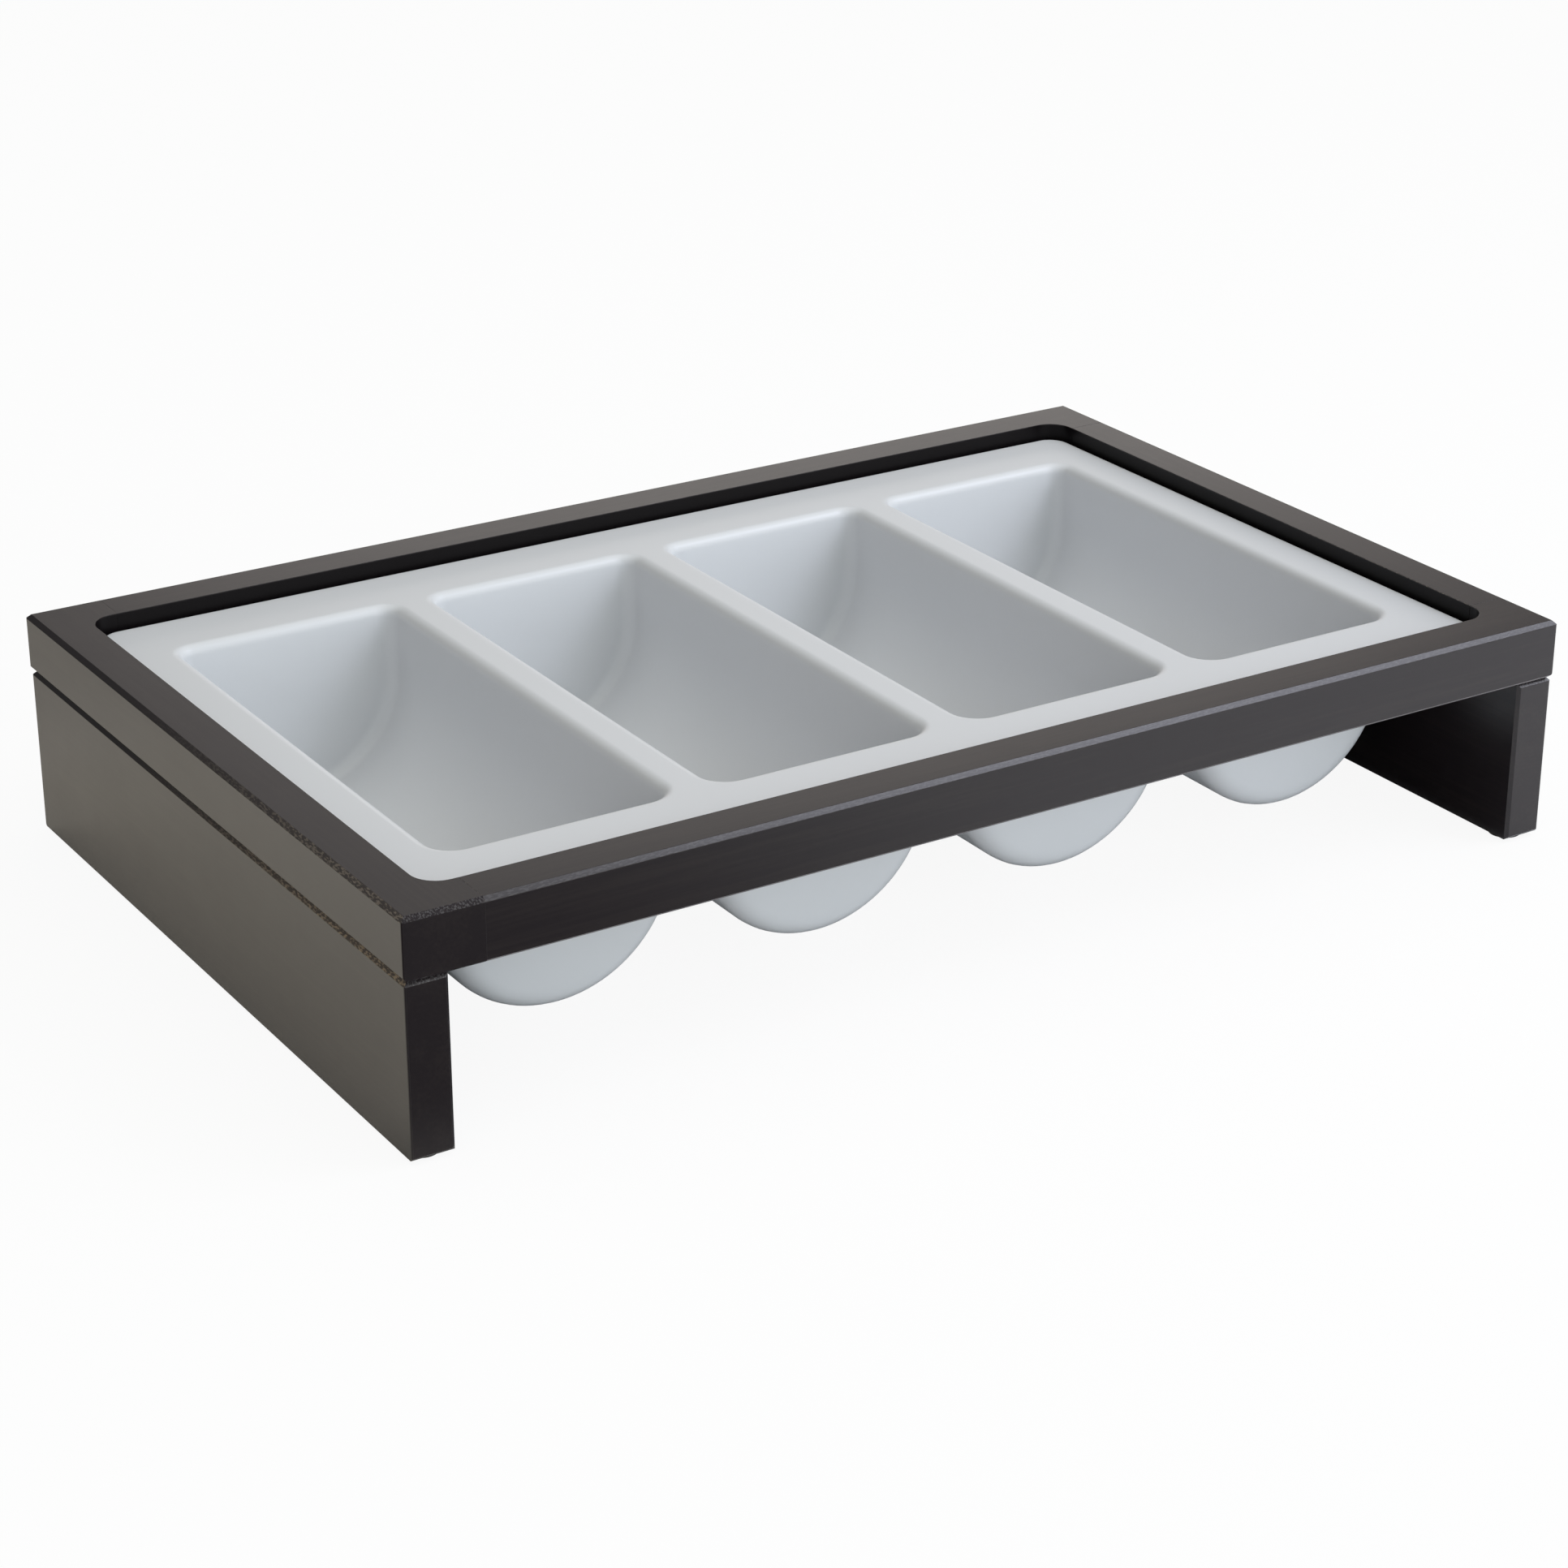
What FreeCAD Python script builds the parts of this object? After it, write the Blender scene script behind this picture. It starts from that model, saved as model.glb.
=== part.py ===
"""Cutlery organizer: a wooden stand that carries a lift-out insert of round-bottomed compartments.

Sizes are in millimetres. X runs along the organizer, Y towards its back and Z up. The origin is on
the table, under the centre of the frame. The insert's own sizes come first, and the stand is worked
out around it.
"""
import FreeCAD, Part
import math
import os

# Insert: a rim and a row of troughs, moulded as one piece.
compartment_count = 4
compartment_width = 105.0      # between the side walls of one trough
compartment_length = 252.0     # between its end walls, at the rim
compartment_depth = 80.0       # from the rim's top to the lowest point inside
divider_width = 20.4           # between the insides of two neighbouring troughs
insert_wall = 3.0
end_wall_draft = 2.5           # lean of the end walls, in degrees
trough_corner = 7.0            # inner rounding where the end walls meet the sides and the bottom
mouth_rounding = 4.75          # top edge of each compartment
rim_end_width = 24.4           # from an outer compartment to the rim's edge, at the two ends
rim_side_width = 36.5          # from the compartments to the rim's edge, at front and back
rim_height = 6.0               # the rim's top to the foot of its turned-down lip
rim_corner = 11.0
rim_shoulder = 2.0             # rounding along the rim's outer top edge
floor_clearance = 15.3         # under the troughs, above the table

# Frame: four rails around a stepped opening.
rim_clearance = 2.0            # between the rim and the opening around it
rim_recess = 7.2               # how far the rim lies below the frame's top
opening_corner = 12.0
end_border = 20.5              # frame's top beside the opening, at the two ends
side_border = 21.5             # frame's top beside the opening, at front and back
rail_width = 35.0
ledge_thickness = 13.8         # the step that carries the insert's lip
top_chamfer = 2.0
end_bottom_chamfer = 2.0
side_bottom_chamfer = 1.0
edge_rounding = 1.0            # upright corners of the frame and outer ones of the panels

# Side panels and their feet.
panel_thickness = 19.0
panel_side_inset = 0.5         # panel's outer face behind the frame's end
panel_end_inset = 0.8          # panel's front and back behind the frame's
panel_top_chamfer = 2.0
panel_bottom_chamfer = 1.5
panel_inner_chamfer = 1.5
foot_diameter = 15.0
foot_height = 2.0
foot_end_gap = 3.7             # from a foot to the panel's end

# Dowels.
dowel_diameter = 8.0
dowel_length = 40.0
dowel_tip_chamfer = 0.8
dowel_side_clearance = 0.1     # around a dowel, in its hole
dowel_end_clearance = 1.0      # beyond each end of a dowel
corner_dowel_spacing = 15.0
panel_dowel_in_rail = 18.0
panel_dowel_gap = 20.0         # from a corner dowel's hole to the nearest panel dowel's axis
panel_dowel_count = 3

cut_margin = 1.0               # how far cutting shapes reach past what they cut

# Heights, from the table up.
rim_top_z = floor_clearance + insert_wall + compartment_depth
ledge_z = rim_top_z - rim_height
frame_bottom_z = ledge_z - ledge_thickness
frame_top_z = rim_top_z + rim_recess

# Lengths along X and depths along Y.
compartment_pitch = compartment_width + divider_width
rim_length = compartment_count * compartment_pitch - divider_width + 2 * rim_end_width
rim_depth = compartment_length + 2 * rim_side_width
opening_length = rim_length + 2 * rim_clearance
opening_depth = rim_depth + 2 * rim_clearance
frame_length = opening_length + 2 * end_border
frame_depth = opening_depth + 2 * side_border
panel_depth = frame_depth - 2 * panel_end_inset
panel_centre_x = frame_length / 2 - panel_side_inset - panel_thickness / 2

UP = FreeCAD.Vector(0, 0, 1)
ALONG = FreeCAD.Vector(1, 0, 0)
BACKWARD = FreeCAD.Vector(0, 1, 0)


def block(x_range, y_range, z_range):
    """A plain box between three pairs of coordinates."""
    sizes = [high - low for low, high in (x_range, y_range, z_range)]
    corner = FreeCAD.Vector(x_range[0], y_range[0], z_range[0])
    return Part.makeBox(*sizes, corner)


def rounded_plate(length, depth, bottom, top, corner):
    """A centred plate whose upright edges are rounded."""
    plate = block((-length / 2, length / 2), (-depth / 2, depth / 2), (bottom, top))
    uprights = [edge for edge in plate.Edges if edge.BoundBox.ZLength > (top - bottom) / 2]
    return plate.makeFillet(corner, uprights)


def prism(points, reach):
    """The flat outline through the points, pushed out along the vector reach."""
    outline = Part.makePolygon(points + points[:1])
    return Part.Face(outline).extrude(reach)


def bevelled_section(half_width, bottom, top, bottom_cut, top_cut):
    """Width and height of the corners of a section whose four edges are bevelled."""
    right = [
        (half_width - bottom_cut, bottom),
        (half_width, bottom + bottom_cut),
        (half_width, top - top_cut),
        (half_width - top_cut, top),
    ]
    left = [(-across, height) for across, height in reversed(right)]
    return right + left


def along_y(section, half_reach):
    """A section in X and Z, pushed out both ways along Y."""
    points = [FreeCAD.Vector(across, -half_reach, height) for across, height in section]
    return prism(points, BACKWARD * (2 * half_reach))


def along_x(section, half_reach):
    """A section in Y and Z, pushed out both ways along X."""
    points = [FreeCAD.Vector(-half_reach, across, height) for across, height in section]
    return prism(points, ALONG * (2 * half_reach))


def trough(centre_x, thickness):
    """One trough's solid: its hollow for a thickness of 0, and otherwise the outside of that wall."""
    radius = compartment_width / 2 + thickness
    axis_z = rim_top_z - compartment_depth + compartment_width / 2
    top = rim_top_z if thickness else rim_top_z + cut_margin
    lean = math.radians(end_wall_draft)

    def half_length(height):
        drawn_in = (rim_top_z - height) * math.tan(lean)
        return compartment_length / 2 - drawn_in + thickness / math.cos(lean)

    left_top = FreeCAD.Vector(-radius, 0, top)
    left_foot = FreeCAD.Vector(-radius, 0, axis_z)
    lowest = FreeCAD.Vector(0, 0, axis_z - radius)
    right_foot = FreeCAD.Vector(radius, 0, axis_z)
    right_top = FreeCAD.Vector(radius, 0, top)
    outline = Part.Wire([
        Part.LineSegment(left_top, left_foot).toShape(),
        Part.Arc(left_foot, lowest, right_foot).toShape(),
        Part.LineSegment(right_foot, right_top).toShape(),
        Part.LineSegment(right_top, left_top).toShape(),
    ])
    reach = half_length(top) + cut_margin
    channel = Part.Face(outline).extrude(BACKWARD * (2 * reach))
    channel.translate(BACKWARD * -reach)

    low = axis_z - radius - cut_margin
    high = top + cut_margin
    leaning_ends = [
        (-half_length(low), low),
        (half_length(low), low),
        (half_length(high), high),
        (-half_length(high), high),
    ]
    shape = channel.common(along_x(leaning_ends, radius + cut_margin))

    end_edges = [
        edge for edge in shape.Edges
        if abs(edge.BoundBox.Center.y) > compartment_length / 4
        and edge.BoundBox.ZMin < top - mouth_rounding
    ]
    shape = shape.makeFillet(trough_corner + thickness, end_edges)
    shape.translate(ALONG * centre_x)
    return shape


def make_insert():
    """The tray: a lipped rim fused with the troughs, whose hollows are then cut."""
    rim = rounded_plate(rim_length, rim_depth, ledge_z, rim_top_z, rim_corner)
    top_edges = [edge for edge in rim.Edges if edge.BoundBox.ZMin > rim_top_z - rim_height / 2]
    rim = rim.makeFillet(rim_shoulder, top_edges)
    underside = rounded_plate(
        rim_length - 2 * insert_wall,
        rim_depth - 2 * insert_wall,
        ledge_z - cut_margin,
        rim_top_z - insert_wall,
        rim_corner - insert_wall,
    )
    rim = rim.cut(underside)

    middle = (compartment_count - 1) / 2
    centres = [(index - middle) * compartment_pitch for index in range(compartment_count)]
    tray = rim.fuse([trough(centre, insert_wall) for centre in centres])
    for centre in centres:
        tray = tray.cut(trough(centre, 0))
    tray = tray.removeSplitter()

    mouth_reach_x = rim_length / 2 - rim_end_width / 2
    mouth_reach_y = rim_depth / 2 - rim_side_width / 2
    mouth_edges = [
        edge for edge in tray.Edges
        if edge.BoundBox.ZMin > rim_top_z - insert_wall / 2
        and abs(edge.BoundBox.Center.x) < mouth_reach_x
        and abs(edge.BoundBox.Center.y) < mouth_reach_y
    ]
    return tray.makeFillet(mouth_rounding, mouth_edges)


def make_frame_ring():
    """The whole frame as one ring: bevelled outside, stepped inside."""
    past_x = frame_length / 2 + cut_margin
    past_y = frame_depth / 2 + cut_margin
    ring = rounded_plate(frame_length, frame_depth, frame_bottom_z, frame_top_z, edge_rounding)
    end_section = bevelled_section(
        frame_length / 2, frame_bottom_z, frame_top_z, end_bottom_chamfer, top_chamfer)
    side_section = bevelled_section(
        frame_depth / 2, frame_bottom_z, frame_top_z, side_bottom_chamfer, top_chamfer)
    ring = ring.common(along_y(end_section, past_y)).common(along_x(side_section, past_x))
    opening = rounded_plate(
        opening_length, opening_depth, ledge_z, frame_top_z + cut_margin, opening_corner)
    inner_x = frame_length / 2 - rail_width
    inner_y = frame_depth / 2 - rail_width
    through = block(
        (-inner_x, inner_x), (-inner_y, inner_y), (frame_bottom_z - cut_margin, frame_top_z))
    return ring.cut(opening).cut(through)


def rod(start, direction, radius, length):
    """A round bar from a point along a direction."""
    return Part.makeCylinder(radius, length, start, direction)


def dowel(start, direction):
    """A dowel with bevelled tips."""
    bar = rod(start, direction, dowel_diameter / 2, dowel_length)
    tips = [edge for edge in bar.Edges if isinstance(edge.Curve, Part.Circle)]
    return bar.makeChamfer(dowel_tip_chamfer, tips)


def dowel_hole(start, direction):
    """The hole for a dowel, open in both pieces that it joins."""
    radius = dowel_diameter / 2 + dowel_side_clearance
    length = dowel_length + 2 * dowel_end_clearance
    return rod(start - direction * dowel_end_clearance, direction, radius, length)


def corner_dowel_places(left, front):
    """Start point and direction of a corner's dowels, which cross its joint at half length."""
    x_side = -1 if left else 1
    y_side = -1 if front else 1
    z = frame_bottom_z + ledge_thickness / 2
    joint_x = x_side * (frame_length / 2 - rail_width)
    joint_y = y_side * (frame_depth / 2 - rail_width)
    centre_x = x_side * (frame_length - rail_width) / 2
    centre_y = y_side * (frame_depth - rail_width) / 2
    places = []
    for side in (-0.5, 0.5):
        shift = side * corner_dowel_spacing
        if left:
            start = FreeCAD.Vector(joint_x - dowel_length / 2, centre_y + shift, z)
            places.append((start, ALONG))
        else:
            start = FreeCAD.Vector(centre_x + shift, joint_y - dowel_length / 2, z)
            places.append((start, BACKWARD))
    return places


def panel_dowel_places(left):
    """Start point and direction of the dowels between a panel and the rail that lies on it."""
    x = -panel_centre_x if left else panel_centre_x
    z = frame_bottom_z + panel_dowel_in_rail - dowel_length
    corner_hole_end = frame_depth / 2 - rail_width - dowel_length / 2 - dowel_end_clearance
    outermost_y = corner_hole_end - panel_dowel_gap
    step = 2 * outermost_y / (panel_dowel_count - 1)
    return [
        (FreeCAD.Vector(x, -outermost_y + index * step, z), UP)
        for index in range(panel_dowel_count)
    ]


def make_rails():
    """The four rails: the end one at the left runs through, and the one at the right is let in."""
    outer_x = frame_length / 2 + cut_margin
    outer_y = frame_depth / 2 + cut_margin
    inner_x = frame_length / 2 - rail_width
    inner_y = frame_depth / 2 - rail_width
    heights = (frame_bottom_z - cut_margin, frame_top_z + cut_margin)
    spans = {
        "left_end_rail": ((-outer_x, -inner_x), (-outer_y, outer_y)),
        "right_end_rail": ((inner_x, outer_x), (-inner_y, inner_y)),
        "front_rail": ((-inner_x, outer_x), (-outer_y, -inner_y)),
        "back_rail": ((-inner_x, outer_x), (inner_y, outer_y)),
    }
    places = []
    for left in (True, False):
        places += panel_dowel_places(left)
        places += corner_dowel_places(left, True) + corner_dowel_places(left, False)
    ring = make_frame_ring().cut([dowel_hole(*place) for place in places])
    return {name: ring.common(block(*span, heights)) for name, span in spans.items()}


def make_panel(left):
    """A side panel: bevelled at its top, its bottom and its inner upright edges."""
    bottom = foot_height
    top = frame_bottom_z
    half = panel_thickness / 2
    half_depth = panel_depth / 2
    plan = [
        (half, -half_depth),
        (half, half_depth),
        (panel_inner_chamfer - half, half_depth),
        (-half, half_depth - panel_inner_chamfer),
        (-half, panel_inner_chamfer - half_depth),
        (panel_inner_chamfer - half, -half_depth),
    ]
    points = [FreeCAD.Vector(across, depth, bottom) for across, depth in plan]
    panel = prism(points, UP * (top - bottom))
    outer_uprights = [
        edge for edge in panel.Edges
        if edge.BoundBox.ZLength > (top - bottom) / 2 and edge.BoundBox.XMin > half / 2
    ]
    panel = panel.makeFillet(edge_rounding, outer_uprights)
    side_section = bevelled_section(
        half_depth, bottom, top, panel_bottom_chamfer, panel_top_chamfer)
    panel = panel.common(along_x(side_section, half + cut_margin))
    outer_x = half + cut_margin
    end_section = [
        (-outer_x, bottom - cut_margin),
        (outer_x, bottom - cut_margin),
        (outer_x, top - panel_top_chamfer - cut_margin),
        (half - panel_top_chamfer - cut_margin, top + cut_margin),
        (-outer_x, top + cut_margin),
    ]
    panel = panel.common(along_y(end_section, half_depth + cut_margin))
    panel.translate(ALONG * panel_centre_x)
    if left:
        panel = panel.mirror(FreeCAD.Vector(0, 0, 0), ALONG)
    return panel.cut([dowel_hole(*place) for place in panel_dowel_places(left)])


def make_foot(left, front):
    """A round glide under the panel's centre line, near its end."""
    x = -panel_centre_x if left else panel_centre_x
    y = panel_depth / 2 - foot_end_gap - foot_diameter / 2
    centre = FreeCAD.Vector(x, -y if front else y, 0)
    return rod(centre, UP, foot_diameter / 2, foot_height)


nodes = {"cutlery_insert": make_insert()}
nodes.update(make_rails())
for side, is_left in (("left", True), ("right", False)):
    nodes[side + "_side_panel"] = make_panel(is_left)
    nodes["panel_dowels_" + side] = Part.makeCompound(
        [dowel(*place) for place in panel_dowel_places(is_left)])
    for end, is_front in (("front", True), ("back", False)):
        nodes["foot_{}_{}".format(end, side)] = make_foot(is_left, is_front)
        nodes["corner_dowels_{}_{}".format(end, side)] = Part.makeCompound(
            [dowel(*place) for place in corner_dowel_places(is_left, is_front)])

os.makedirs("parts", exist_ok=True)
for name, shape in nodes.items():
    shape.exportStep("parts/" + name + ".step")
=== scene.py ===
"""Looks of the cutlery organizer: a dark stained stand and a pale moulded insert.

Lengths are in metres, in the CAD model's frame: X along the organizer, Y towards its back, Z up.
"""
import math

import bmesh
import bpy
from mathutils import Matrix, Vector


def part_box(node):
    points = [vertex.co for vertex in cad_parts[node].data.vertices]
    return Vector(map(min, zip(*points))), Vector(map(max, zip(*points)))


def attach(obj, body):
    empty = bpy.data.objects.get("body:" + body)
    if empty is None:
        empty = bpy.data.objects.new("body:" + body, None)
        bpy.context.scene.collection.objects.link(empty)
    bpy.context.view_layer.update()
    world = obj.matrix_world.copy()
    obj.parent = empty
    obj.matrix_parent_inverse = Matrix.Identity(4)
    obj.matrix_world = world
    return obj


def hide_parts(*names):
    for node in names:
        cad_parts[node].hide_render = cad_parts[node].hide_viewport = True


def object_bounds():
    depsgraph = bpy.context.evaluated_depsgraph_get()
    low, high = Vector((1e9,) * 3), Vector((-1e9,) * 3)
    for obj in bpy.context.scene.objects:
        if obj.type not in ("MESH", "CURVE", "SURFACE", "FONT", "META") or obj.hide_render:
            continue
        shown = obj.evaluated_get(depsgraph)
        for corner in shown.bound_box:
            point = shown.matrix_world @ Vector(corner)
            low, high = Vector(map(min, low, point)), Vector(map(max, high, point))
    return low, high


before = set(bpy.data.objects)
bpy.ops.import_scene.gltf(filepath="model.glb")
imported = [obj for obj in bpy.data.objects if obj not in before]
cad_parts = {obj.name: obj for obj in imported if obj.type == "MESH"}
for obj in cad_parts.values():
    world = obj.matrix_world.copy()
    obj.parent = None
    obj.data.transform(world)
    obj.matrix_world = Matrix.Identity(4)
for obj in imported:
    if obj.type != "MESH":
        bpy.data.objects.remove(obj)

bl_info = {
    "name": "Cutlery Organizer",
    "version": (1, 0, 0),
    "blender": (4, 5, 0),
    "location": "View3D > Sidebar > Organizer",
    "description": "Dresses a cutlery organizer's stand and insert, and sets its stage",
    "category": "Object",
}

MM = 0.001
RIM_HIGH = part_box("cutlery_insert")[1]
STAND_LOW, STAND_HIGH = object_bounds()

RIM_CLEARANCE = 2 * MM
WALL_MARGIN = 0.2 * MM
# Half of the frame's opening, with a margin that takes in its own walls.
OPENING_X = RIM_HIGH.x + RIM_CLEARANCE + WALL_MARGIN
OPENING_Y = RIM_HIGH.y + RIM_CLEARANCE + WALL_MARGIN
# The insert's lip stands on the ledge inside the frame.
LEDGE_THICKNESS = 13.8 * MM
LIP_FOOT_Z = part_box("front_rail")[0].z + LEDGE_THICKNESS

RAILS = ("left_end_rail", "right_end_rail", "front_rail", "back_rail")
PANELS = ("left_side_panel", "right_side_panel")
FEET = ("foot_front_left", "foot_front_right", "foot_back_left", "foot_back_right")
DOWELS = tuple(sorted(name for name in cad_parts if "dowels" in name))


def length_property(name, description, default):
    """A length that a user may change, in metres."""
    return bpy.props.FloatProperty(
        name=name, description=description, default=default, min=0.0, unit="LENGTH",
        subtype="DISTANCE", precision=4)


def angle_property(name, description, degrees):
    """An angle that a user may change."""
    return bpy.props.FloatProperty(
        name=name, description=description, default=math.radians(degrees), unit="ROTATION",
        subtype="ANGLE")


def colour_property(name, description, default):
    """A colour that a user may change."""
    return bpy.props.FloatVectorProperty(
        name=name, description=description, default=default, min=0.0, max=1.0, size=3,
        subtype="COLOR")


class InsertSettings(bpy.types.PropertyGroup):
    """Sizes and colour of the moulded insert."""

    compartment_count: bpy.props.IntProperty(
        name="Compartments", description="How many troughs lie side by side", default=4, min=1)
    compartment_width: length_property(
        "Compartment width", "Between the side walls of one trough", 105 * MM)
    compartment_length: length_property(
        "Compartment length", "Between the end walls of one trough, at the rim", 252 * MM)
    compartment_depth: length_property(
        "Compartment depth", "From the rim's top to the lowest point inside", 80 * MM)
    divider_width: length_property(
        "Divider width", "Between the insides of two neighbouring troughs", 20.4 * MM)
    wall: length_property("Wall", "Thickness of the moulded wall", 3 * MM)
    end_draft: angle_property("End draft", "Lean of the end walls", 2.5)
    mouth_rounding: length_property(
        "Mouth rounding", "Rounding along the top edge of each compartment", 4.75 * MM)
    front_corner: length_property(
        "Front corner", "Rounding of the front corners, near the mouth", 11 * MM)
    back_corner: length_property(
        "Back corner", "Rounding of the back corners, near the mouth", 7 * MM)
    floor_corner: length_property(
        "Floor corner", "Rounding between the end walls and the lowest line", 6 * MM)
    rim_corner: length_property("Rim corner", "Rounding of the rim's corners in plan", 11 * MM)
    rim_shoulder: length_property("Rim shoulder", "Rounding along the rim's outer top edge", 2 * MM)
    plastic: colour_property("Plastic", "Colour of the moulded plastic", (0.690, 0.702, 0.722))


class StandSettings(bpy.types.PropertyGroup):
    """Edge softening and colours of the wooden stand."""

    edge_softening: length_property(
        "Edge softening", "Width of the worn arris on the wooden edges", 0.5 * MM)
    stain: colour_property("Stain", "Colour of the stained wood", (0.0104, 0.0068, 0.0086))
    light_grain: colour_property(
        "Light grain", "Colour of the paler streaks under the stain", (0.0148, 0.0104, 0.0112))
    pale_fleck: colour_property(
        "Pale fleck", "Colour of the flecks on milled edges", (0.145, 0.14, 0.142))
    golden_fleck: colour_property(
        "Golden fleck", "Colour of the flecks where the stain is rubbed thin", (0.34, 0.255, 0.16))
    # Painted highlight: a pale line along the front edges that stands in for the light the arris
    # catches.
    edge_highlight: colour_property(
        "Edge highlight", "Colour of the thin line along the front edges", (0.34, 0.32, 0.33))
    dowel_wood: colour_property("Dowel wood", "Colour of the unstained dowels", (0.56, 0.38, 0.21))
    foot_rubber: colour_property("Foot rubber", "Colour of the feet", (0.012, 0.012, 0.013))
    foot_rounding: length_property("Foot rounding", "Rounding of a foot's edges", 0.5 * MM)


class StageSettings(bpy.types.PropertyGroup):
    """Floor, lamps and camera."""

    floor_colour: colour_property("Floor", "Colour of the floor", (0.88, 0.88, 0.88))
    floor_size: length_property("Floor size", "Side of the square floor", 12.0)
    lens: bpy.props.FloatProperty(
        name="Lens", description="Focal length of the camera, in millimetres", default=84.26,
        min=10.0, unit="CAMERA")
    camera_place: bpy.props.FloatVectorProperty(
        name="Camera place", description="Where the camera stands",
        default=(-0.8187, -1.2948, 0.6950), size=3, subtype="TRANSLATION", unit="LENGTH")
    camera_pan: angle_property("Camera pan", "Turn of the camera towards +X, from +Y", 32.207)
    camera_tilt: angle_property("Camera tilt", "How far the camera looks down", 23.652)


# The Mix node's sockets for colours, which share their names with those for other kinds.
MIX_FACTOR, MIX_FIRST, MIX_SECOND, MIX_RESULT = 0, 6, 7, 2


class Value:
    """A node's output socket, on which arithmetic adds Math nodes."""

    def __init__(self, graph, socket):
        self.graph = graph
        self.socket = socket

    def math(self, operation, *others):
        """The outcome of a Math node on this value and the others."""
        return self.graph.maths(operation, self, *others)

    def __add__(self, other):
        return self.math("ADD", other)

    def __mul__(self, other):
        return self.math("MULTIPLY", other)

    def __rsub__(self, other):
        return self.graph.maths("SUBTRACT", other, self)


class Graph:
    """The nodes of one material or of the world."""

    def __init__(self, tree):
        self.tree = tree
        tree.nodes.clear()

    def add(self, kind, settings=None, inputs=None, output=0):
        """A node of this kind, its settings made first, then its inputs. Gives one output."""
        node = self.tree.nodes.new("ShaderNode" + kind)
        for name, setting in (settings or {}).items():
            setattr(node, name, setting)
        for key, given in (inputs or {}).items():
            if isinstance(given, Value):
                self.tree.links.new(given.socket, node.inputs[key])
            else:
                node.inputs[key].default_value = given
        return Value(self, node.outputs[output]) if node.outputs else None

    def maths(self, operation, *values):
        """The outcome of a Math node on these values."""
        return self.add("Math", {"operation": operation}, dict(enumerate(values)))

    def object_place(self):
        """A point's coordinates in its object, which here are the frame's own."""
        return self.add("TexCoord", output="Object")

    def mirrored(self):
        """1 where a surface or the room shows in gloss, and 0 elsewhere."""
        return self.add("LightPath", output="Is Glossy Ray")

    def seen_directly(self):
        """1 where the camera itself sees a surface or the room, and 0 elsewhere."""
        return self.add("LightPath", output="Is Camera Ray")

    def mix(self, factor, first, second, blend="MIX"):
        """A colour between two colours, or another blend of them."""
        colours = [
            colour if isinstance(colour, Value) else (*colour, 1.0) for colour in (first, second)]
        return self.add(
            "Mix", {"data_type": "RGBA", "blend_type": blend},
            {MIX_FACTOR: factor, MIX_FIRST: colours[0], MIX_SECOND: colours[1]}, MIX_RESULT)

    def spread(self, value, low, high):
        """0 at low, 1 at high and smooth between them. The higher end may come first."""
        return self.add(
            "MapRange", {"interpolation_type": "SMOOTHSTEP"},
            {"Value": value, "From Min": low, "From Max": high})

    def noise(self, place, scale, detail, roughness, distortion=0.0):
        """A noise pattern at a place."""
        return self.add("TexNoise", None, {
            "Vector": place, "Scale": scale, "Detail": detail, "Roughness": roughness,
            "Distortion": distortion})

    def bump(self, height, strength, distance):
        """The surface's direction over small heights, the highest of them a distance up."""
        return self.add("Bump", None, {
            "Strength": strength, "Distance": distance, "Height": height})

    def drawn_out(self, place, drawn_axis, share):
        """The place with one axis scaled by a share, so that patterns run longer along it."""
        scale = [share if axis == drawn_axis else 1.0 for axis in range(3)]
        return self.add("Mapping", None, {"Vector": place, "Scale": scale})

    def part_of(self, vector, axis):
        """One component of a vector: 0, 1 or 2."""
        return self.add("SeparateXYZ", None, {0: vector}, axis)

    def size_of_part(self, vector, axis):
        """One component of a vector without its sign."""
        return self.part_of(vector, axis).math("ABSOLUTE")

    def squareness(self, facing):
        """1 on a face that is square to an axis, and less on a bevel."""
        largest = self.size_of_part(facing, 0)
        for axis in (1, 2):
            largest = largest.math("MAXIMUM", self.size_of_part(facing, axis))
        return largest

    def within(self, place, axis, reach):
        """1 where a coordinate lies within a reach of the middle, and 0 elsewhere."""
        return self.size_of_part(place, axis).math("LESS_THAN", reach)

    def towards(self, direction, aim):
        """How nearly a direction points along an aim: 1 where it does."""
        return self.add(
            "VectorMath", {"operation": "DOT_PRODUCT"}, {0: direction, 1: aim}, "Value")


def new_material(name):
    """An empty node material and its graph."""
    material = bpy.data.materials.new(name)
    material.use_nodes = True
    return material, Graph(material.node_tree)


def finish_surface(graph, inputs):
    """A Principled surface with these inputs as the material's output."""
    surface = graph.add("BsdfPrincipled", None, inputs)
    graph.add("OutputMaterial", None, {"Surface": surface})


def scaled(colour, share):
    """A colour with every part taken by a share."""
    return tuple(share * part for part in colour)


# Noise scales of the grain and the flecks, and how far both are drawn out along the grain.
BROAD_GRAIN_SCALE = 70.0
FINE_GRAIN_SCALE = 620.0
FLECK_SCALE = 1500.0
GRAIN_STRETCH = 0.035
FLECK_STRETCH = 0.3

# Each range holds the values at which a mask is 0 and 1: first the strength of a pattern, then
# a part of the direction in which a face looks, then a coordinate.
STREAK_FIELD = (0.42, 0.66)
FLECK_FIELD = (0.45, 0.65)
SQUARE_FACE = (0.93, 0.98)
ARRIS_FACE = (0.86, 0.91)
END_FACE = (0.3, 0.5)
LEVEL_FACE = (0.2, 0.35)
LEFT_FACE = (-0.3, -0.5)
DOWN_FACE = (-0.2, -0.35)
FRONT_EDGE_Y = (STAND_LOW.y + 3 * MM, STAND_LOW.y + MM)
WORN_LEFT_Y = (0.12, -0.16)
LOWER_EDGE_Z = (0.095, 0.085)
BELOW_TOP_Z = (STAND_HIGH.z - 0.2 * MM, STAND_HIGH.z - 0.6 * MM)
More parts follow.
